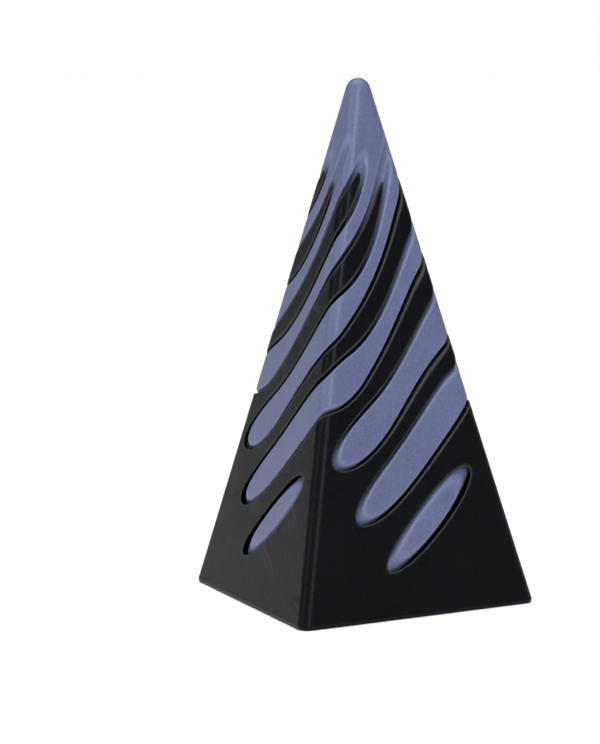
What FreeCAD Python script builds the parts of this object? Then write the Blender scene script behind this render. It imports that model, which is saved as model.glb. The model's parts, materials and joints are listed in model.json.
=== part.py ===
import FreeCAD, Part
import math
import os
from FreeCAD import Vector

# Pyramid screw-through puzzle: a slotted pyramid shell and the spiral core that screws out of it.
# The origin is the centre of the base, +Z runs up to the tip, and all lengths are millimetres.
#
# The shell and the core are each one moulded piece. Each is written as the features it is made
# of, which meet face to face: eight climbing fins make the shell, and eight petals and a tip
# round a column make the core.

# --- Driving dimensions -------------------------------------------------------------------------

BASE_WIDTH = 30.0          # side of the square base
HEIGHT = 60.0              # base to the top of the ball tip
CORNER_RADIUS = 1.43       # radius of the four corner edges and of the tip
FOOT_RADIUS = 0.4          # round along the bottom outer edge of the shell
CORE_INSET = 0.1           # how far the core's outside stands back from the shell's at the base

LOBES = 8                  # petals of the screw section
LEAD = 66.6                # height of one full right-hand turn of the petals
LOBE_TURN_AT_BASE = 1.1    # degrees from +X to the axis of a slot's petal, at the base
CORE_BACKLASH_TURN = 0.7   # degrees that the core hangs back in its slots at rest

COLUMN_RADIUS = 2.0        # round column up the middle of the core
COLUMN_LENGTH = 46.0
COLUMN_RUNNING_GAP = 0.05  # radial clearance of the column in the core's bore
COLUMN_END_GAP = 0.3       # clearance over the column's top end
TIP_START = 50.0           # height where the petals end and the plain tip of the core begins

# The core's petal and the shell's slot run about 0.4 mm apart all round. In each outline:
#   head_centre  distance from the axis to the centre of the round head
#   head         radius of the head
#   stem         half the width where the petal is narrowest
#   neck         radius of the hollow side between the stem and the head
#   valley       distance from the axis to the round bottom between two petals
CORE_PETAL = {"head_centre": 10.87, "head": 2.58, "stem": 0.72, "neck": 8.8, "valley": 3.22}
SHELL_SLOT = {"head_centre": 10.99, "head": 3.06, "stem": 1.12, "neck": 8.4, "valley": 4.0}

# --- Construction values ------------------------------------------------------------------------

SIDES = 4                  # turning the pyramid by a quarter leaves it the same
SECTION_STEP = 3.0         # height between two sections of a twisted loft
OVERRUN = 3.0              # length that cutting bodies stand past the piece they cut
OFFSET_TOLERANCE = 1e-4
HALF_PITCH = math.pi / LOBES
AXIS = Vector(0, 0, 1)
CENTRE = Vector(0, 0, 0)


def place(point, turn, z):
    """Turns a flat point about the Z axis by an angle in radians and lifts it to height z."""
    x, y = point
    return Vector(
        x * math.cos(turn) - y * math.sin(turn),
        x * math.sin(turn) + y * math.cos(turn),
        z,
    )


def petal_points(head_centre, head, stem, neck, valley):
    """Points down one side of a petal that lies along +X, from its crown to the valley bottom."""
    neck_y = stem + neck
    neck_x = head_centre - math.sqrt((head + neck) ** 2 - neck_y ** 2)
    join = math.atan2(neck_y, neck_x - head_centre)
    neck_middle = (join - math.pi - math.pi / 2) / 2
    valley_centre = (valley - stem) / (1.0 - math.sin(HALF_PITCH))
    return {
        "crown": (head_centre + head, 0.0),
        "head_end": (head_centre + head * math.cos(join), head * math.sin(join)),
        "neck_middle": (
            neck_x + neck * math.cos(neck_middle),
            neck_y + neck * math.sin(neck_middle),
        ),
        "stem_top": (neck_x, stem),
        "stem_foot": (valley_centre * math.cos(HALF_PITCH), stem),
        "valley_bottom": (valley * math.cos(HALF_PITCH), valley * math.sin(HALF_PITCH)),
    }


def star_wire(petal, turn, z):
    """Closed star of petals at height z, with the first petal turned from +X by an angle."""
    points = petal_points(**petal)
    edges = []
    for lobe in range(LOBES):
        here = turn + 2 * HALF_PITCH * lobe

        def far(name):
            return place(points[name], here, z)

        def near(name):
            x, y = points[name]
            return place((x, -y), here, z)

        x, y = points["stem_foot"]
        next_foot = place((x, -y), here + 2 * HALF_PITCH, z)
        edges += [
            Part.LineSegment(near("stem_foot"), near("stem_top")),
            Part.Arc(near("stem_top"), near("neck_middle"), near("head_end")),
            Part.Arc(near("head_end"), far("crown"), far("head_end")),
            Part.Arc(far("head_end"), far("neck_middle"), far("stem_top")),
            Part.LineSegment(far("stem_top"), far("stem_foot")),
            Part.Arc(far("stem_foot"), far("valley_bottom"), next_foot),
        ]
    return Part.Wire([edge.toShape() for edge in edges])


def sector_wire(turn, z):
    """Kite over one eighth of the turn, from the axis to past the corners of the base."""
    reach = 2 * BASE_WIDTH
    outer = [place((reach, 0.0), turn + HALF_PITCH * half, z) for half in range(3)]
    axis = Vector(0, 0, z)
    return Part.makePolygon([axis] + outer + [axis])


def twisted(wire_at, low, high):
    """Solid of a section as it climbs and turns with the lead. wire_at takes a turn and a height."""
    steps = math.ceil((high - low) / SECTION_STEP)
    heights = [low + (high - low) * step / steps for step in range(steps + 1)]
    return Part.makeLoft([wire_at(2 * math.pi * z / LEAD, z) for z in heights], True)


def twisted_star(petal, base_turn):
    """Star of petals all the way up the pyramid and past both of its ends."""
    turn = math.radians(base_turn)
    return twisted(lambda climb, z: star_wire(petal, turn + climb, z), -OVERRUN, HEIGHT + OVERRUN)


def rounded_pyramid(base_width):
    """Square pyramid of the full height whose corner edges and tip are rounds of one radius."""
    half = base_width / 2
    ball_centre = HEIGHT - CORNER_RADIUS
    slope = math.atan2(half, ball_centre) - math.asin(
        CORNER_RADIUS / math.hypot(half, ball_centre)
    )
    low = -2 * OVERRUN
    reach = (ball_centre - low) * math.tan(slope)
    corners = [
        Vector(sx * reach, sy * reach, low) for sx, sy in ((-1, -1), (1, -1), (1, 1), (-1, 1))
    ]
    apex = Vector(0, 0, ball_centre)
    faces = [Part.Face(Part.makePolygon(corners + corners[:1]))]
    for index, corner in enumerate(corners):
        following = corners[(index + 1) % SIDES]
        faces.append(Part.Face(Part.makePolygon([corner, following, apex, corner])))
    sharp = Part.Solid(Part.Shell(faces))
    swollen = sharp.makeOffsetShape(CORNER_RADIUS, OFFSET_TOLERANCE, join=0)
    return swollen.common(slab(0, 2 * HEIGHT)).Solids[0]


def slab(low, high):
    """Wide block between two heights."""
    return Part.makeBox(
        4 * BASE_WIDTH, 4 * BASE_WIDTH, high - low, Vector(-2 * BASE_WIDTH, -2 * BASE_WIDTH, low)
    )


def outer_shell():
    """Pyramid with the eight-petal screw opening cut right through it, base to top."""
    pyramid = rounded_pyramid(BASE_WIDTH)
    foot = [edge for edge in pyramid.Edges if max(v.Z for v in edge.Vertexes) < 1e-3]
    pyramid = pyramid.makeFillet(FOOT_RADIUS, foot)
    return pyramid.cut(twisted_star(SHELL_SLOT, LOBE_TURN_AT_BASE)).Solids[0]


def spiral_core():
    """The part of the pyramid inside the screw section, bored from below for its column."""
    pyramid = rounded_pyramid(BASE_WIDTH - 2 * CORE_INSET)
    star = twisted_star(CORE_PETAL, LOBE_TURN_AT_BASE - CORE_BACKLASH_TURN)
    bore = Part.makeCylinder(
        COLUMN_RADIUS + COLUMN_RUNNING_GAP,
        COLUMN_LENGTH + COLUMN_END_GAP + OVERRUN,
        Vector(0, 0, -OVERRUN),
    )
    return pyramid.common(star).cut(bore).Solids[0]


def eighths(body, name, first_side_turn, low, high):
    """Cuts a body along the screw into eight like features that meet face to face.

    first_side_turn is the turn in degrees, at the base, of the first cut. Two neighbours are
    cut, and the other six are the same two turned by quarters of a turn.
    """
    features = {}
    for neighbour in range(LOBES // SIDES):
        turn = math.radians(first_side_turn) + 2 * HALF_PITCH * neighbour
        sector = twisted(lambda climb, z: sector_wire(turn + climb, z), low, high)
        feature = body.common(sector).Solids[0]
        for quarter in range(SIDES):
            number = neighbour + 1 + quarter * LOBES // SIDES
            turned = feature.copy()
            turned.rotate(CENTRE, AXIS, quarter * 360 / SIDES)
            features[name + str(number)] = turned
    return features


def pieces():
    """Every node's name and solid."""
    between_petals = math.degrees(HALF_PITCH)
    core = spiral_core()
    core_turn = LOBE_TURN_AT_BASE - CORE_BACKLASH_TURN
    return {
        **eighths(outer_shell(), "shell_fin_", LOBE_TURN_AT_BASE, -OVERRUN, HEIGHT),
        **eighths(
            core.common(slab(-OVERRUN, TIP_START)),
            "core_petal_",
            core_turn - between_petals,
            -OVERRUN,
            HEIGHT,
        ),
        "core_tip": core.common(slab(TIP_START, HEIGHT + OVERRUN)).Solids[0],
        "core_column": Part.makeCylinder(COLUMN_RADIUS, COLUMN_LENGTH),
    }


os.makedirs("parts", exist_ok=True)
for node, solid in pieces().items():
    if not solid.isValid():
        raise ValueError(node + " is not a valid solid")
    solid.exportStep("parts/" + node + ".step")
    print(node, "volume", round(solid.Volume, 1), "mm3,", len(solid.Faces), "faces")
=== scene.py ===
import json
import logging
import math
from collections.abc import Iterable
from dataclasses import dataclass, field
from enum import Enum

import bpy
from mathutils import Matrix, Vector


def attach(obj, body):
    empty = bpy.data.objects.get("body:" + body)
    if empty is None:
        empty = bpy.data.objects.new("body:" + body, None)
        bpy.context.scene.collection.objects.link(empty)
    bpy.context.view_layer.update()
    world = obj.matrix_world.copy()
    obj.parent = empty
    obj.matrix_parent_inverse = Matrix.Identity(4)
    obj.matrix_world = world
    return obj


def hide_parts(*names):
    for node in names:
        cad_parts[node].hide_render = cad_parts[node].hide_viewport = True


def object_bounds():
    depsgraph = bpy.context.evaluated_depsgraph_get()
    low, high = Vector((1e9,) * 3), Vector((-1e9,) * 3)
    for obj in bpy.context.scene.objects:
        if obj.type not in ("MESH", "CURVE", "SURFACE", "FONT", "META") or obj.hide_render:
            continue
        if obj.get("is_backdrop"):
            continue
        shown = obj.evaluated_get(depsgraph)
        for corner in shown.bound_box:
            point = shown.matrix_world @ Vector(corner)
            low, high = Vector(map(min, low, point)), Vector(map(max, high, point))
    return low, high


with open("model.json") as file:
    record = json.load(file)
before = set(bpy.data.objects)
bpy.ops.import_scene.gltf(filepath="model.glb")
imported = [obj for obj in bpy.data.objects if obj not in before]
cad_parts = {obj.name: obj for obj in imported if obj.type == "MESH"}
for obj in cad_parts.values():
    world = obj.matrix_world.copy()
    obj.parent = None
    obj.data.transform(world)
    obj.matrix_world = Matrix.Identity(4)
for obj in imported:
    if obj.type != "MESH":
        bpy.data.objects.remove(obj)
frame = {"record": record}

# Pass-through pyramid puzzle: a black slotted shell and the slate-blue spiral core inside it.
# Each is one moulded piece. Its surface is where a distance is nought: the distance to a rounded
# square pyramid, met with the distance to an eight-petal star that climbs as a right-hand screw.
# Lengths are metres, the origin is the centre of the base, and +Z runs up to the tip.

MM = 0.001

log = logging.getLogger("pyramid_puzzle")


class Size(Enum):
    """Named sizes that every node tree of the puzzle takes as inputs."""

    HALF_WIDTH = "Half width of base"
    HEIGHT = "Height"
    CORNER_RADIUS = "Corner radius"
    FOOT_RADIUS = "Foot radius"
    EDGE_RADIUS = "Edge radius"
    LOBES = "Petals"
    LEAD = "Screw lead"
    BASE_TURN = "Turn at base"
    HEAD_CENTRE = "Head centre"
    HEAD = "Head radius"
    STEM = "Stem half width"
    NECK = "Neck radius"
    VALLEY = "Valley radius"
    STAR_SIDE = "Star side"


class StarUse(Enum):
    """Whether a piece is what lies inside the star or what is left round it."""

    KEPT = 1.0
    CUT_AWAY = -1.0


class TreeKind(Enum):
    """What a node tree is read by."""

    GEOMETRY = "GeometryNodeTree"
    SHADER = "ShaderNodeTree"


class Scalar:
    """One number in a node tree, whose arithmetic adds Math nodes to that tree."""

    def __init__(self, socket: bpy.types.NodeSocket) -> None:
        """Wraps an output socket."""
        self.socket = socket
        self.tree = socket.id_data

    def math(self, operation: str, *others: "Scalar | float") -> "Scalar":
        """Adds one Math node.

        Args:
            operation: Name of the Math node's operation.
            others: Values for the inputs after this one.

        Returns:
            The node's result.
        """
        return math_node(self.tree, operation, self, *others)

    def __add__(self, other: "Scalar | float") -> "Scalar":
        """Returns the sum."""
        return self.math("ADD", other)

    def __sub__(self, other: "Scalar | float") -> "Scalar":
        """Returns the difference."""
        return self.math("SUBTRACT", other)

    def __rsub__(self, other: float) -> "Scalar":
        """Returns a plain number less this one."""
        return math_node(self.tree, "SUBTRACT", other, self)

    def __mul__(self, other: "Scalar | float") -> "Scalar":
        """Returns the product."""
        return self.math("MULTIPLY", other)

    def __truediv__(self, other: "Scalar | float") -> "Scalar":
        """Returns the quotient."""
        return self.math("DIVIDE", other)

    def __rtruediv__(self, other: float) -> "Scalar":
        """Returns a plain number over this one."""
        return math_node(self.tree, "DIVIDE", other, self)

    def __neg__(self) -> "Scalar":
        """Returns the negative."""
        return self.math("MULTIPLY", -1.0)

    def least(self, other: "Scalar | float") -> "Scalar":
        """Returns the smaller of the two."""
        return self.math("MINIMUM", other)

    def most(self, other: "Scalar | float") -> "Scalar":
        """Returns the larger of the two."""
        return self.math("MAXIMUM", other)

    def over(self, other: "Scalar | float") -> "Scalar":
        """Returns 1 where this is the larger, or else 0."""
        return self.math("GREATER_THAN", other)

    def size(self) -> "Scalar":
        """Returns the value without its sign."""
        return self.math("ABSOLUTE")

    def root(self) -> "Scalar":
        """Returns the square root, with nought for a negative value."""
        return self.most(0.0).math("SQRT")

    def sine(self) -> "Scalar":
        """Returns the sine of an angle in radians."""
        return self.math("SINE")

    def cosine(self) -> "Scalar":
        """Returns the cosine of an angle in radians."""
        return self.math("COSINE")


def math_node(tree: bpy.types.NodeTree, operation: str, *values: Scalar | float) -> Scalar:
    """Adds one Math node to a tree.

    Args:
        tree: The tree that gets the node.
        operation: Name of the Math node's operation.
        values: Its inputs in order, each a number of the tree or a plain number.

    Returns:
        The node's result.
    """
    node = tree.nodes.new("ShaderNodeMath")
    node.operation = operation
    for socket, value in zip(node.inputs, values):
        if isinstance(value, Scalar):
            tree.links.new(value.socket, socket)
        else:
            socket.default_value = value
    return Scalar(node.outputs[0])


def hypotenuse(a: Scalar, b: Scalar) -> Scalar:
    """Returns the length of the longest side over two square ones."""
    return (a * a + b * b).root()


def choose(condition: Scalar, yes: Scalar | float, no: Scalar) -> Scalar:
    """Returns yes where the condition is 1, and no where it is 0."""
    return no + condition * (yes - no)


def wedge(a: Scalar, b: Scalar, lean: Scalar | float) -> Scalar:
    """Distance to the edge region of two half spaces.

    Args:
        a: Distance to the first plane.
        b: Distance to the second plane.
        lean: Cosine of the angle between the planes' outward directions.

    Returns:
        The true distance, nought on the two planes and growing outwards.
    """
    apart = (a * a + b * b - a * b * 2.0 * lean) / (1.0 - lean * lean)
    off_edge = (a - b * lean).over(0.0) * (b - a * lean).over(0.0)
    return choose(off_edge, apart.root(), a.most(b))


@dataclass
class TreeBuilder:
    """A node tree in the making, with its input and output nodes."""

    name: str
    kind: TreeKind = TreeKind.GEOMETRY
    tree: bpy.types.NodeTree = field(init=False)
    source: bpy.types.Node = field(init=False)
    sink: bpy.types.Node = field(init=False)

    def __post_init__(self) -> None:
        """Makes the empty tree."""
        self.tree = bpy.data.node_groups.new(self.name, self.kind.value)
        self.source = self.tree.nodes.new("NodeGroupInput")
        self.sink = self.tree.nodes.new("NodeGroupOutput")

    def take(self, name: str, kind: str) -> None:
        """Adds a named input, of kind Float, Vector, Geometry or Material."""
        self.tree.interface.new_socket(name, in_out="INPUT", socket_type="NodeSocket" + kind)

    def give(self, name: str, kind: str) -> None:
        """Adds a named output."""
        self.tree.interface.new_socket(name, in_out="OUTPUT", socket_type="NodeSocket" + kind)

    def take_sizes(self) -> None:
        """Adds an input for each named size."""
        for size in Size:
            self.take(size.value, "Float")

    def number(self, name: str) -> Scalar:
        """Returns a named input as a number."""
        return Scalar(self.source.outputs[name])

    def add(self, kind: str, **inputs: object) -> bpy.types.Node:
        """Adds a node and fills its inputs.

        Args:
            kind: The node's type name.
            inputs: By input name, with _ for a space: a socket, a Scalar or a plain value.

        Returns:
            The new node.
        """
        node = self.tree.nodes.new(kind)
        for name, value in inputs.items():
            self.fill(node.inputs[name.replace("_", " ")], value)
        return node

    def fill(self, socket: bpy.types.NodeSocket, value: object) -> None:
        """Fills an input.

        Args:
            socket: The input.
            value: A socket or Scalar to link to it, or a plain value to set it to.
        """
        if isinstance(value, Scalar):
            value = value.socket
        if isinstance(value, bpy.types.NodeSocket):
            self.tree.links.new(value, socket)
        else:
            socket.default_value = value

    def scaled(self, vector: bpy.types.NodeSocket, by: Scalar) -> bpy.types.NodeSocket:
        """Adds a node that makes a vector longer or shorter.

        Args:
            vector: The vector.
            by: What it is multiplied by.

        Returns:
            The product.
        """
        node = self.tree.nodes.new("ShaderNodeVectorMath")
        node.operation = "SCALE"
        self.fill(node.inputs[0], vector)
        self.fill(node.inputs["Scale"], by)
        return node.outputs[0]

    def vectors(self, operation: str, *values: object) -> bpy.types.NodeSocket:
        """Adds a Vector Math node.

        Args:
            operation: Name of the node's operation.
            values: Its vectors in order.

        Returns:
            The node's vector result.
        """
        node = self.tree.nodes.new("ShaderNodeVectorMath")
        node.operation = operation
        for socket, value in zip(node.inputs, values):
            self.fill(socket, value)
        return node.outputs[0]


@dataclass(frozen=True)
class Petal:
    """Outline of one petal of the screw section, half of it on each side of its axis."""

    head_centre: float  # from the screw axis to the centre of the round head
    head: float  # radius of the head
    stem: float  # half the width where the petal is narrowest
    neck: float  # radius of the hollow side between stem and head
    valley: float  # from the screw axis to the round bottom between two petals


@dataclass(frozen=True)
class ScrewPyramid:
    """All the sizes of one piece: a rounded pyramid, and the star that is kept or cut away."""

    half_width: float
    height: float
    corner_radius: float
    foot_radius: float
    edge_radius: float
    base_turn: float
    petal: Petal
    use: StarUse
    lobes: int = 8
    lead: float = 66.6 * MM

    def values(self) -> dict[str, float]:
        """Lists the sizes for the node trees.

        Returns:
            Every size by the name of its input.
        """
        by_size = {
            Size.HALF_WIDTH: self.half_width,
            Size.HEIGHT: self.height,
            Size.CORNER_RADIUS: self.corner_radius,
            Size.FOOT_RADIUS: self.foot_radius,
            Size.EDGE_RADIUS: self.edge_radius,
            Size.LOBES: float(self.lobes),
            Size.LEAD: self.lead,
            Size.BASE_TURN: self.base_turn,
            Size.HEAD_CENTRE: self.petal.head_centre,
            Size.HEAD: self.petal.head,
            Size.STEM: self.petal.stem,
            Size.NECK: self.petal.neck,
            Size.VALLEY: self.petal.valley,
            Size.STAR_SIDE: self.use.value,
        }
        return {size.value: value for size, value in by_size.items()}


class DistanceGroup:
    """Node group that gives the distance from a place to the surface of a piece.

    The carving trees read it to shape a piece, and the finishes read it to find its edges.
    """

    TINY = 1e-6  # keeps a division clear of nought
    EDGE_BAND = 1.5  # half the width of the band that counts as edge, in edge radii
    PLACE = "Place"
    DISTANCE = "Distance"
    EDGE = "Edge"

    def __init__(self, kind: TreeKind) -> None:
        """Builds the group.

        Args:
            kind: The kind of tree that it is for.
        """
        self.build = TreeBuilder("piece_distance", kind)
        self.build.take(self.PLACE, "Vector")
        self.build.take_sizes()
        self.build.give(self.DISTANCE, "Float")
        self.build.give(self.EDGE, "Float")
        apart = self.build.add("ShaderNodeSeparateXYZ")
        self.build.fill(apart.inputs[0], self.build.source.outputs[self.PLACE])
        x, y, z = (Scalar(socket) for socket in apart.outputs)
        outside = self.pyramid(x, y, z)
        star = self.star(x, y, z) * self.size(Size.STAR_SIDE)
        radius = self.size(Size.EDGE_RADIUS)
        distance = wedge((outside + radius).most(0.0), (star + radius).most(0.0), 0.0)
        inner = outside.most(star).least(-radius)
        nearness = 1.0 - (outside - star).size() / (radius * self.EDGE_BAND)
        self.build.fill(self.build.sink.inputs[self.DISTANCE], distance + inner)
        self.build.fill(self.build.sink.inputs[self.EDGE], nearness.most(0.0))

    @property
    def tree(self) -> bpy.types.NodeTree:
        """The finished group."""
        return self.build.tree

    def size(self, size: Size) -> Scalar:
        """Returns a size that the group takes."""
        return self.build.number(size.value)

    def pyramid(self, x: Scalar, y: Scalar, z: Scalar) -> Scalar:
        """Distance to the square pyramid with round corners, a ball tip and a round foot.

        Args:
            x: Place across the base.
            y: Place along the base.
            z: Height.

        Returns:
            The distance, negative inside.
        """
        half, radius = self.size(Size.HALF_WIDTH), self.size(Size.CORNER_RADIUS)
        ball = self.size(Size.HEIGHT) - radius
        slope = half.math("ARCTAN2", ball) - (radius / hypotenuse(half, ball)).math("ARCSINE")
        tangent, lean = slope.math("TANGENT"), slope.sine() * slope.sine()
        reach = (ball - z) * tangent
        side_x = (x.size() - reach) * slope.cosine()
        side_y = (y.size() - reach) * slope.cosine()
        sharp = wedge(side_x, side_y, lean)
        over_ball = (z - ball - (x.size() + y.size()) * tangent).over(0.0)
        from_ball = (x * x + y * y + (z - ball) * (z - ball)).root()
        sides = choose(over_ball, from_ball, sharp) - radius
        foot = self.size(Size.FOOT_RADIUS)
        side, under = sides + foot, foot - z
        rolled = wedge(side, under, -slope.sine()) - foot
        return choose(side.over(0.0) * under.over(0.0), rolled, sides.most(-z))

    def star(self, x: Scalar, y: Scalar, z: Scalar) -> Scalar:
        """Distance to the climbing star, from the arcs and lines of one half petal.

        Args:
            x: Place across the base.
            y: Place along the base.
            z: Height.

        Returns:
            The distance, negative inside, allowing for how the screw leans.
        """
        head_centre, head = self.size(Size.HEAD_CENTRE), self.size(Size.HEAD)
        stem, neck = self.size(Size.STEM), self.size(Size.NECK)
        half_pitch = math.pi / self.size(Size.LOBES)
        climb = math.tau / self.size(Size.LEAD)
        turned = y.math("ARCTAN2", x) - self.size(Size.BASE_TURN) - z * climb + half_pitch
        angle = turned.math("FLOORED_MODULO", half_pitch * 2.0) - half_pitch
        radius = hypotenuse(x, y)
        px, py = radius * angle.cosine(), radius * angle.sine().size()

        neck_y = stem + neck
        neck_x = head_centre - ((head + neck) * (head + neck) - neck_y * neck_y).root()
        valley_at = (self.size(Size.VALLEY) - stem) / (1.0 - half_pitch.sine())
        valley_x, valley_y = valley_at * half_pitch.cosine(), valley_at * half_pitch.sine()
        to_head = hypotenuse(px - head_centre, py)
        to_neck = hypotenuse(px - neck_x, py - neck_y)
        to_valley = hypotenuse(px - valley_x, py - valley_y)

        below_head = (py * (neck_x - head_centre) - (px - head_centre) * neck_y).over(0.0)
        beyond_stem, beyond_neck = (valley_x - px).over(0.0), (neck_x - px).over(0.0)

        def pick(on_head: Scalar, on_neck: Scalar, on_stem: Scalar, on_valley: Scalar) -> Scalar:
            """Returns the value of the part of the outline that is nearest."""
            inner = choose(beyond_stem, on_valley, on_stem)
            return choose(below_head, choose(beyond_neck, inner, on_neck), on_head)

        flat = pick(
            to_head - head,
            neck - to_neck,
            py - stem,
            valley_at - self.size(Size.VALLEY) - to_valley,
        )
        swing = pick(
            py * head_centre / to_head.most(self.TINY),
            (px * neck_y - py * neck_x) / to_neck.most(self.TINY),
            px,
            (px * valley_y - py * valley_x) / to_valley.most(self.TINY),
        )
        return flat / (swing * swing * climb * climb + 1.0).root()

    def use_in(self, build: TreeBuilder, place: bpy.types.NodeSocket | None) -> bpy.types.Node:
        """Adds the group to a tree that takes the same sizes.

        Args:
            build: The tree.
            place: Where the distance is wanted, or None for where the field is evaluated.

        Returns:
            The group's node.
        """
        node = build.tree.nodes.new("GeometryNodeGroup")
        node.node_tree = self.tree
        if place is None:
            place = build.add("GeometryNodeInputPosition").outputs[0]
        build.fill(node.inputs[self.PLACE], place)
        for size in Size:
            build.fill(node.inputs[size.value], build.source.outputs[size.value])
        return node


class CarveTree:
    """Geometry Nodes tree that makes a piece's closed surface from its distance."""

    VOXEL = "Voxel size"
    MARGIN = "Margin"
    MATERIAL = "Material"
    PASSES = 2  # moves of each point on to the surface

    def __init__(self, distance: DistanceGroup) -> None:
        """Builds the tree.

        Args:
            distance: The group that it reads.
        """
        build = TreeBuilder("carve_piece")
        self.tree = build.tree
        build.take_sizes()
        build.take(self.VOXEL, "Float")
        build.take(self.MARGIN, "Float")
        build.take(self.MATERIAL, "Material")
        build.give("Geometry", "Geometry")
        voxel, margin = build.number(self.VOXEL), build.number(self.MARGIN)
        reach = build.number(Size.HALF_WIDTH.value) + margin
        top = build.number(Size.HEIGHT.value) + margin
        low = build.add("ShaderNodeCombineXYZ", X=-reach, Y=-reach, Z=-margin)
        high = build.add("ShaderNodeCombineXYZ", X=reach, Y=reach, Z=top)
        across = (reach * 2.0 / voxel).math("CEIL")
        tall = ((top + margin) / voxel).math("CEIL")
        inside = -Scalar(distance.use_in(build, None).outputs[distance.DISTANCE])
        volume = build.add(
            "GeometryNodeVolumeCube",
            Density=inside,
            Background=-margin,
            Min=low.outputs[0],
            Max=high.outputs[0],
            Resolution_X=across,
            Resolution_Y=across,
            Resolution_Z=tall,
        )
        surface = build.tree.nodes.new("GeometryNodeVolumeToMesh")
        surface.resolution_mode = "GRID"
        build.fill(surface.inputs["Volume"], volume.outputs["Volume"])
        build.fill(surface.inputs["Threshold"], 0.0)
        shape = surface.outputs[0]
        for _ in range(self.PASSES):
            away = Scalar(distance.use_in(build, None).outputs[distance.DISTANCE])
            normal = build.add("GeometryNodeInputNormal").outputs[0]
            step = build.scaled(normal, -away)
            shape = build.add("GeometryNodeSetPosition", Geometry=shape, Offset=step).outputs[0]
        finish_tree(build, shape)


class SettleTree:
    """Geometry Nodes tree that sets a thinned surface back in place and gives it true normals.

    Each corner's normal is read a little way into its own face, and at the middle of a long face
    that ends beside a slot, so that a flat face doesn't take the lean of the round it ends in.
    """

    REACH = "Slope reach"
    STEP_IN = "Step into face"
    LONG_FACE = "Long face"
    STEP_SHARE = 0.4  # the step is at most this share of the way to the face's middle
    PASSES = 2  # moves of each point back on to the surface
    PROBES = ((1, -1, -1), (-1, -1, 1), (-1, 1, -1), (1, 1, 1))  # four corners of a cube

    def __init__(self, distance: DistanceGroup) -> None:
        """Builds the tree.

        Args:
            distance: The group that it reads.
        """
        self.distance = distance
        self.build = build = TreeBuilder("settle_piece")
        self.tree = build.tree
        build.take("Geometry", "Geometry")
        build.take_sizes()
        build.take(self.REACH, "Float")
        build.take(self.STEP_IN, "Float")
        build.take(self.LONG_FACE, "Float")
        build.take(CarveTree.MATERIAL, "Material")
        build.give("Geometry", "Geometry")
        shape = build.source.outputs["Geometry"]
        for _ in range(self.PASSES):
            away = Scalar(distance.use_in(build, None).outputs[distance.DISTANCE])
            here = build.add("GeometryNodeInputPosition").outputs[0]
            step = build.scaled(self.outward(here), -away)
            shape = build.add("GeometryNodeSetPosition", Geometry=shape, Offset=step).outputs[0]
        smooth = build.add("GeometryNodeSetShadeSmooth", Geometry=shape)
        normals = build.tree.nodes.new("GeometryNodeSetMeshNormal")
        normals.mode = "FREE"
        normals.domain = "CORNER"
        build.fill(normals.inputs["Mesh"], smooth.outputs[0])
        build.fill(normals.inputs["Custom Normal"], self.outward(self.inside_face()))
        finish_tree(build, normals.outputs[0])

    def inside_face(self) -> bpy.types.NodeSocket:
        """Finds where each corner's normal is read.

        Returns:
            A place a short step from the corner towards the middle of its face, or that middle
            itself in a long face that ends beside a slot.
        """
        build = self.build
        here = build.add("GeometryNodeInputPosition").outputs[0]
        middle = build.tree.nodes.new("GeometryNodeFieldOnDomain")
        middle.data_type = "FLOAT_VECTOR"
        middle.domain = "FACE"
        build.fill(middle.inputs[0], here)
        inward = build.vectors("SUBTRACT", middle.outputs[0], here)
        length = build.tree.nodes.new("ShaderNodeVectorMath")
        length.operation = "LENGTH"
        build.fill(length.inputs[0], inward)
        whole = Scalar(length.outputs["Value"]).most(DistanceGroup.TINY)
        share = (build.number(self.STEP_IN) / whole).least(self.STEP_SHARE)
        by_slot = Scalar(self.distance.use_in(build, None).outputs[self.distance.EDGE]).over(0.0)
        share = choose(by_slot * whole.over(build.number(self.LONG_FACE)), 1.0, share)
        return build.vectors("ADD", here, build.scaled(inward, share))

    def outward(self, place: bpy.types.NodeSocket) -> bpy.types.NodeSocket:
        """Finds the direction in which the distance grows fastest.

        Args:
            place: Where it is wanted.

        Returns:
            The unit vector, worked out from four places round the given one.
        """
        build = self.build
        total: bpy.types.NodeSocket | None = None
        for x, y, z in self.PROBES:
            probe = build.add("ShaderNodeCombineXYZ", X=x, Y=y, Z=z).outputs[0]
            step = build.scaled(probe, build.number(self.REACH))
            node = self.distance.use_in(build, build.vectors("ADD", place, step))
            share = Scalar(node.outputs[self.distance.DISTANCE]) / build.number(self.REACH)
            part = build.scaled(probe, share)
            total = part if total is None else build.vectors("ADD", total, part)
        return build.vectors("NORMALIZE", total)


def finish_tree(build: TreeBuilder, shape: bpy.types.NodeSocket) -> None:
    """Ends a tree by realizing its instances and setting its material.

    Args:
        build: The tree.
        shape: The geometry that it has made.
    """
    real = build.add("GeometryNodeRealizeInstances", Geometry=shape)
    material = build.source.outputs[CarveTree.MATERIAL]
    dressed = build.add("GeometryNodeSetMaterial", Geometry=real.outputs[0], Material=material)
    build.fill(build.sink.inputs["Geometry"], dressed.outputs[0])


def add_tree(
    piece: bpy.types.Object, tree: bpy.types.NodeTree, values: dict[str, object]
) -> None:
    """Puts a node tree on an object, with its inputs set by the identifiers of their sockets.

    Args:
        piece: The object that gets the modifier.
        tree: The Geometry Nodes tree.
        values: Each input's value by its name. Names that the tree doesn't take are passed over.
    """
    modifier = piece.modifiers.new(tree.name, "NODES")
    modifier.node_group = tree
    for item in tree.interface.items_tree:
        if item.item_type == "SOCKET" and item.in_out == "INPUT" and item.name in values:
            modifier[item.identifier] = values[item.name]


def triangle_count(mesh: bpy.types.Mesh) -> int:
    """Returns how many triangles a mesh comes to."""
    return sum(len(polygon.vertices) - 2 for polygon in mesh.polygons)


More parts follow.
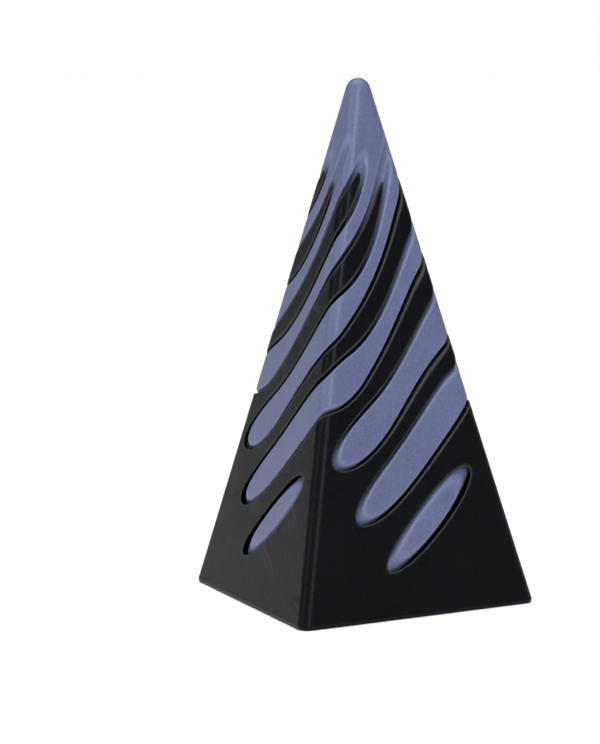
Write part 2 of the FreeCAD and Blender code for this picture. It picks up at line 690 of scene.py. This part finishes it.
@dataclass
class Carver:
    """Makes plain meshes of pieces from their sizes."""

    voxel: float = 0.15 * MM
    margin: float = 0.6 * MM  # room round the piece in the volume that it is made from
    slope_reach: float = 0.03 * MM  # how far off the distance is read to find its slope
    step_into_face: float = 0.3 * MM
    long_face: float = 0.35 * MM  # from a corner to the middle of a face that counts as long
    triangles: int = 192_000
    carve: CarveTree = field(init=False)
    settle: SettleTree = field(init=False)

    def __post_init__(self) -> None:
        """Builds the trees that all pieces share."""
        distance = DistanceGroup(TreeKind.GEOMETRY)
        self.carve = CarveTree(distance)
        self.settle = SettleTree(distance)

    def make(self, name: str, form: ScrewPyramid, finish: bpy.types.Material) -> bpy.types.Object:
        """Makes one piece as a plain mesh with its place in its mesh.

        Args:
            name: Name of the piece.
            form: Its sizes.
            finish: Its material.

        Returns:
            The piece, with no modifiers left on it.
        """
        values: dict[str, object] = {
            **form.values(),
            CarveTree.VOXEL: self.voxel,
            CarveTree.MARGIN: self.margin,
            CarveTree.MATERIAL: finish,
            SettleTree.REACH: self.slope_reach,
            SettleTree.STEP_IN: self.step_into_face,
            SettleTree.LONG_FACE: self.long_face,
        }
        piece = bpy.data.objects.new(name, bpy.data.meshes.new(name))
        bpy.context.scene.collection.objects.link(piece)
        add_tree(piece, self.carve.tree, values)
        self.bake(piece)
        thin = piece.modifiers.new("thin", "DECIMATE")
        thin.ratio = min(1.0, self.triangles / triangle_count(piece.data))
        self.bake(piece)
        add_tree(piece, self.settle.tree, values)
        self.bake(piece)
        return piece

    @staticmethod
    def bake(piece: bpy.types.Object) -> None:
        """Turns an object's modifiers into its plain mesh and removes them.

        Args:
            piece: The object.
        """
        graph = bpy.context.evaluated_depsgraph_get()
        made = bpy.data.meshes.new_from_object(piece.evaluated_get(graph))
        old = piece.data
        piece.modifiers.clear()
        made.name = piece.name
        piece.data = made
        bpy.data.meshes.remove(old)


@dataclass(frozen=True)
class MattPlastic:
    """Satin plastic with a fine matt grain, cloudy tone, and paler edges: partly wear, partly a
    painted highlight along the slot rounds.
    """

    name: str
    colour: tuple[float, float, float]
    # paler colour painted along the slot edges: partly edge wear, partly a painted highlight on
    # the rounds
    edge_wear_and_highlight_colour: tuple[float, float, float]
    roughness: float
    specular: float
    gloss_tint: tuple[float, float, float] = (1.0, 1.0, 1.0)
    grain_size: float = 0.22 * MM
    grain_depth: float = 0.014 * MM
    tone_spread: float = 0.27
    cloud_size: float = 7.0 * MM
    grain_detail: float = 3.0
    cloud_detail: float = 2.0
    cloud_share: float = 0.3  # of the tone, where the rest is the grain's
    cloud_roughness: float = 0.08
    grain_roughness: float = 0.06
    wear_and_highlight_speckle: float = 0.6  # how far the grain breaks up the paler edges, both the wear and the painted highlight
    layer_pitch: float = 0.2 * MM
    layer_depth: float = 0.5  # share of the grain's depth, on near-level surfaces only
    level_from: float = 0.45  # rise of a surface's normal from which it counts as near level
    level_gain: float = 1.8

    NOISE_LOW = 0.25  # a noise texture hardly goes below this, or above 1 less this
    MIX_INPUTS = (6, 7)  # a Mix node's two colours
    MIX_RESULT = 2

    def build(self, form: ScrewPyramid, distance: DistanceGroup) -> bpy.types.Material:
        """Makes the material, with its pattern on object coordinates.

        Args:
            form: Sizes of the piece that wears it, which say where its edges are.
            distance: The distance group for shaders.

        Returns:
            The material.
        """
        material = bpy.data.materials.new(self.name)
        material.use_nodes = True
        tree = material.node_tree
        shader = tree.nodes["Principled BSDF"]
        shader.inputs["Specular IOR Level"].default_value = self.specular
        shader.inputs["Specular Tint"].default_value = (*self.gloss_tint, 1.0)
        place = tree.nodes.new("ShaderNodeTexCoord").outputs["Object"]
        grain = self.noise(tree, place, self.grain_size, self.grain_detail)
        cloud = self.noise(tree, place, self.cloud_size, self.cloud_detail)
        edge = self.edges(tree, place, form, distance)
        self.colour_nodes(tree, shader, grain, cloud, edge)
        smoothest = self.roughness - (self.cloud_roughness + self.grain_roughness) / 2
        rough = cloud * self.cloud_roughness + grain * self.grain_roughness + smoothest
        tree.links.new(rough.socket, shader.inputs["Roughness"])
        bump = tree.nodes.new("ShaderNodeBump")
        bump.inputs["Distance"].default_value = self.grain_depth
        height = grain + self.layers(tree, place) * self.layer_depth
        tree.links.new(height.socket, bump.inputs["Height"])
        tree.links.new(bump.outputs[0], shader.inputs["Normal"])
        return material

    @classmethod
    def noise(
        cls,
        tree: bpy.types.NodeTree,
        place: bpy.types.NodeSocket,
        size: float,
        detail: float,
    ) -> Scalar:
        """Adds a noise texture whose blotches are about as wide as size, from 0 to 1.

        Args:
            tree: The material's tree.
            place: Where the noise is read.
            size: Width of a blotch.
            detail: How many finer octaves it holds.

        Returns:
            The noise, with its usual range spread over 0 to 1.
        """
        node = tree.nodes.new("ShaderNodeTexNoise")
        node.inputs["Scale"].default_value = 1.0 / size
        node.inputs["Detail"].default_value = detail
        tree.links.new(place, node.inputs["Vector"])
        spread = 1.0 / (1.0 - 2.0 * cls.NOISE_LOW)
        return ((Scalar(node.outputs[0]) - cls.NOISE_LOW) * spread).most(0.0).least(1.0)

    def colour_nodes(
        self,
        tree: bpy.types.NodeTree,
        shader: bpy.types.Node,
        grain: Scalar,
        cloud: Scalar,
        edge: Scalar,
    ) -> None:
        """Links the base colour: cloudy tone, speckle from the grain, and paler edges, partly wear
        and partly a painted highlight on the rounds.

        Args:
            tree: The material's tree.
            shader: The shader that gets the colour.
            grain: Fine noise.
            cloud: Broad noise.
            edge: 1 at an edge, falling to 0 off it.
        """
        tone = cloud * self.cloud_share + grain * (1.0 - self.cloud_share)
        low, high = 1.0 - self.tone_spread, 1.0 + self.tone_spread
        body = self.blend(tree, tone, self.shade(low), self.shade(high))
        # painted highlight along the slot-edge rounds, mixed with edge wear and broken up by the
        # grain
        worn_and_highlit = edge * (grain * self.wear_and_highlight_speckle + (1.0 - self.wear_and_highlight_speckle))
        colour = self.blend(tree, worn_and_highlit, body, (*self.edge_wear_and_highlight_colour, 1.0))
        tree.links.new(colour, shader.inputs["Base Color"])

    @staticmethod
    def edges(
        tree: bpy.types.NodeTree,
        place: bpy.types.NodeSocket,
        form: ScrewPyramid,
        distance: DistanceGroup,
    ) -> Scalar:
        """Finds the edges beside the slots.

        Args:
            tree: The material's tree.
            place: Where the edges are looked for.
            form: Sizes of the piece that wears the material.
            distance: The distance group for shaders.

        Returns:
            1 along the middle of the rounds, falling to 0 off them.
        """
        node = tree.nodes.new("ShaderNodeGroup")
        node.node_tree = distance.tree
        tree.links.new(place, node.inputs[distance.PLACE])
        for name, value in form.values().items():
            node.inputs[name].default_value = value
        return Scalar(node.outputs[distance.EDGE])

    def shade(self, by: float) -> tuple[float, float, float, float]:
        """Returns the colour made lighter or darker."""
        red, green, blue = (part * by for part in self.colour)
        return (red, green, blue, 1.0)

    @classmethod
    def blend(
        cls, tree: bpy.types.NodeTree, share: Scalar, start: object, end: object
    ) -> bpy.types.NodeSocket:
        """Adds a Mix node between two colours.

        Args:
            tree: The material's tree.
            share: How much there is of the second colour.
            start: The first colour, a socket or four numbers.
            end: The second colour.

        Returns:
            The mixed colour.
        """
        node = tree.nodes.new("ShaderNodeMix")
        node.data_type = "RGBA"
        tree.links.new(share.socket, node.inputs["Factor"])
        for index, value in zip(cls.MIX_INPUTS, (start, end)):
            if isinstance(value, bpy.types.NodeSocket):
                tree.links.new(value, node.inputs[index])
            else:
                node.inputs[index].default_value = value
        return node.outputs[cls.MIX_RESULT]

    def layers(self, tree: bpy.types.NodeTree, place: bpy.types.NodeSocket) -> Scalar:
        """Adds fine level ridges that show only where the surface faces up, as at the ball tip.

        Args:
            tree: The material's tree.
            place: Where the ridges are read.

        Returns:
            Their height, from -1 to 1.
        """
        height = tree.nodes.new("ShaderNodeSeparateXYZ")
        tree.links.new(place, height.inputs[0])
        facing = tree.nodes.new("ShaderNodeSeparateXYZ")
        tree.links.new(tree.nodes.new("ShaderNodeNewGeometry").outputs["Normal"], facing.inputs[0])
        level = (Scalar(facing.outputs[2]) - self.level_from).most(0.0) * self.level_gain
        return (Scalar(height.outputs[2]) * (math.tau / self.layer_pitch)).sine() * level


@dataclass
class SlottedShell:
    """The black outer pyramid: a closed ring at the base and eight fins that climb from it."""

    nodes: list[str]
    height: float
    half_width: float = 15.0 * MM
    corner_radius: float = 1.43 * MM
    foot_radius: float = 0.4 * MM
    edge_radius: float = 0.18 * MM
    base_turn_deg: float = 1.1
    slot: Petal = Petal(
        head_centre=10.99 * MM, head=3.06 * MM, stem=1.16 * MM, neck=8.4 * MM, valley=3.85 * MM
    )
    finish: MattPlastic = MattPlastic(
        "black_matt_plastic",
        colour=(0.0036, 0.0042, 0.0052),
        # pale grey painted along the slot edges: partly wear, partly a painted highlight on the
        # rounds
        edge_wear_and_highlight_colour=(0.066, 0.064, 0.062),
        roughness=0.32,
        specular=0.08,
        gloss_tint=(0.87, 0.93, 1.0),
    )

    def build(self, carver: Carver, edges: DistanceGroup) -> bpy.types.Object:
        """Makes the shell and ties it to its body.

        Args:
            carver: Makes its mesh.
            edges: The distance group that its finish reads.

        Returns:
            The shell.
        """
        form = ScrewPyramid(
            half_width=self.half_width,
            height=self.height,
            corner_radius=self.corner_radius,
            foot_radius=self.foot_radius,
            edge_radius=self.edge_radius,
            base_turn=math.radians(self.base_turn_deg),
            petal=self.slot,
            use=StarUse.CUT_AWAY,
        )
        piece = carver.make("slotted_shell", form, self.finish.build(form, edges))
        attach(piece, "shell")
        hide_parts(*self.nodes)
        return piece


@dataclass
class SpiralCore:
    """The slate-blue core: eight twisted petals that run into one plain tip."""

    nodes: list[str]
    height: float
    half_width: float = 14.9 * MM  # a little less than the shell's, so that it stands back
    corner_radius: float = 1.43 * MM
    foot_radius: float = 0.3 * MM
    edge_radius: float = 0.20 * MM
    base_turn_deg: float = 1.1
    petal: Petal = Petal(
        head_centre=10.87 * MM, head=2.58 * MM, stem=0.72 * MM, neck=8.8 * MM, valley=3.22 * MM
    )
    finish: MattPlastic = MattPlastic(
        "slate_blue_matt_plastic",
        colour=(0.097, 0.112, 0.208),
        # lighter blue painted along the rib edges: partly wear, partly a painted highlight on the
        # rounds
        edge_wear_and_highlight_colour=(0.142, 0.162, 0.285),
        roughness=0.36,
        specular=0.25,
    )

    def build(self, carver: Carver, edges: DistanceGroup) -> bpy.types.Object:
        """Makes the core, its column included, and ties it to its body.

        Args:
            carver: Makes its mesh.
            edges: The distance group that its finish reads.

        Returns:
            The core.
        """
        form = ScrewPyramid(
            half_width=self.half_width,
            height=self.height,
            corner_radius=self.corner_radius,
            foot_radius=self.foot_radius,
            edge_radius=self.edge_radius,
            base_turn=math.radians(self.base_turn_deg),
            petal=self.petal,
            use=StarUse.KEPT,
        )
        piece = carver.make("spiral_core", form, self.finish.build(form, edges))
        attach(piece, "core")
        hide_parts(*self.nodes)
        return piece


@dataclass(frozen=True)
class Direction:
    """A direction from the object: an angle round from the front (-Y) to +X, and a rise."""

    round_deg: float
    rise_deg: float

    def vector(self) -> Vector:
        """Works out the direction's coordinates.

        Returns:
            The unit vector.
        """
        turn, rise = math.radians(self.round_deg), math.radians(self.rise_deg)
        return Vector(
            (math.sin(turn) * math.cos(rise), -math.cos(turn) * math.cos(rise), math.sin(rise))
        )


@dataclass(frozen=True)
class SoftBox:
    """One rectangular studio light that faces the object."""

    name: str
    towards: Direction
    distance: float
    width: float
    height: float
    power: float

    def place(self, target: Vector) -> None:
        """Adds the light.

        Args:
            target: The place that it is aimed at.
        """
        lamp = bpy.data.lights.new(self.name, "AREA")
        lamp.shape = "RECTANGLE"
        lamp.size, lamp.size_y = self.width, self.height
        lamp.energy = self.power
        light = bpy.data.objects.new(self.name, lamp)
        away = self.towards.vector()
        light.location = target + away * self.distance
        light.rotation_euler = (-away).to_track_quat("-Z", "Y").to_euler()
        bpy.context.scene.collection.objects.link(light)


@dataclass
class Studio:
    """Pale floor, soft lights and the bright horizon round them."""

    floor_radius: float = 2.5
    floor_sides: int = 96
    floor_colour: tuple[float, float, float] = (0.90, 0.90, 0.90)
    floor_roughness: float = 0.8
    floor_specular: float = 0.2
    horizon: float = 1.0  # brightness of the surroundings near the horizon
    middle: float = 0.06  # and between there and overhead
    overhead: float = 3.8  # what overhead adds to that
    horizon_fade_deg: tuple[float, float] = (1.5, 9.5)
    overhead_fade_deg: tuple[float, float] = (50.0, 66.0)
    boxes: tuple[SoftBox, ...] = (
        SoftBox(
            "left_box",
            towards=Direction(-88.0, 28.0),
            distance=0.55,
            width=0.035,
            height=0.34,
            power=0.5,
        ),
        SoftBox(
            "front_box",
            towards=Direction(-18.0, 32.0),
            distance=0.55,
            width=0.030,
            height=0.34,
            power=1.5,
        ),
    )

    def build(self, target: Vector) -> None:
        """Adds the floor, the lights and the world.

        Args:
            target: The place that the lights are aimed at.
        """
        self.lay_floor()
        self.light_world()
        for box in self.boxes:
            box.place(target)

    def lay_floor(self) -> None:
        """Adds a round floor at the height of the base."""
        rim = [
            Vector((math.cos(turn), math.sin(turn), 0.0)) * self.floor_radius
            for turn in (math.tau * side / self.floor_sides for side in range(self.floor_sides))
        ]
        mesh = bpy.data.meshes.new("floor")
        mesh.from_pydata(rim, [], [list(range(self.floor_sides))])
        floor = bpy.data.objects.new("floor", mesh)
        bpy.context.scene.collection.objects.link(floor)
        material = bpy.data.materials.new("pale_floor")
        material.use_nodes = True
        shader = material.node_tree.nodes["Principled BSDF"]
        shader.inputs["Base Color"].default_value = (*self.floor_colour, 1.0)
        shader.inputs["Roughness"].default_value = self.floor_roughness
        shader.inputs["Specular IOR Level"].default_value = self.floor_specular
        mesh.materials.append(material)
        floor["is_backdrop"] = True

    def light_world(self) -> None:
        """Makes the surroundings bright near the horizon and overhead, and dark between."""
        world = bpy.data.worlds.new("studio")
        world.use_nodes = True
        tree = world.node_tree
        apart = tree.nodes.new("ShaderNodeSeparateXYZ")
        tree.links.new(tree.nodes.new("ShaderNodeTexCoord").outputs["Generated"], apart.inputs[0])
        rise = Scalar(apart.outputs[2])
        low = self.band(rise, self.horizon_fade_deg, self.horizon, self.middle)
        high = self.band(rise, self.overhead_fade_deg, 0.0, self.overhead)
        strength = low + high
        tree.links.new(strength.socket, tree.nodes["Background"].inputs["Strength"])
        tree.nodes["Background"].inputs["Color"].default_value = (1.0, 1.0, 1.0, 1.0)
        bpy.context.scene.world = world

    @staticmethod
    def band(rise: Scalar, fade_deg: tuple[float, float], below: float, above: float) -> Scalar:
        """Adds a smooth change of brightness between two rises above the horizon.

        Args:
            rise: Sine of the rise of a direction.
            fade_deg: The rises where the change starts and ends.
            below: Brightness under the first.
            above: Brightness over the second.

        Returns:
            The brightness.
        """
        node = rise.tree.nodes.new("ShaderNodeMapRange")
        node.interpolation_type = "SMOOTHSTEP"
        node.inputs["From Min"].default_value = math.sin(math.radians(fade_deg[0]))
        node.inputs["From Max"].default_value = math.sin(math.radians(fade_deg[1]))
        node.inputs["To Min"].default_value = below
        node.inputs["To Max"].default_value = above
        rise.tree.links.new(rise.socket, node.inputs["Value"])
        return Scalar(node.outputs[0])


@dataclass(frozen=True)
class StudioCamera:
    """The camera that the puzzle is seen through."""

    direction: Direction = Direction(-26.84, 7.25)
    distance: float = 0.29716
    lens: float = 124.04
    roll_deg: float = -0.43
    shift: tuple[float, float] = (-0.0806, -0.0460)
    clip: tuple[float, float] = (0.01, 20.0)

    def place(self, target: Vector) -> None:
        """Adds the camera and makes it the scene's own.

        Args:
            target: The place that it is aimed at, before its shift.
        """
        data = bpy.data.cameras.new("camera")
        data.lens = self.lens
        data.shift_x, data.shift_y = self.shift
        data.clip_start, data.clip_end = self.clip
        camera = bpy.data.objects.new("camera", data)
        back = self.direction.vector()
        aim = (-back).to_track_quat("-Z", "Y").to_matrix().to_4x4()
        roll = Matrix.Rotation(math.radians(self.roll_deg), 4, "Z")
        camera.matrix_world = Matrix.Translation(target + back * self.distance) @ aim @ roll
        bpy.context.scene.collection.objects.link(camera)
        bpy.context.scene.camera = camera


def nodes_of(bodies: Iterable[str]) -> list[str]:
    """Returns the CAD nodes of some bodies, in the record's order."""
    groups = frame["record"]["behaviour"]["bodies"]
    return [node for body in bodies for node in groups[body]]


def main() -> None:
    """Builds the puzzle and its studio."""
    logging.basicConfig(level=logging.INFO, format="%(message)s")
    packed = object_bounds()
    height = round(packed[1].z, 4)
    middle = Vector((0.0, 0.0, height / 2))
    bpy.context.scene.view_settings.view_transform = "Standard"
    StudioCamera().place(middle)
    Studio().build(middle)

    carver, edges = Carver(), DistanceGroup(TreeKind.SHADER)
    shell = SlottedShell(nodes_of(["shell"]), height).build(carver, edges)
    core = SpiralCore(nodes_of(["core_slide", "core"]), height).build(carver, edges)
    for piece in (shell, core):
        log.info("%s: %d triangles", piece.name, triangle_count(piece.data))


if __name__ == "__main__":
    main()
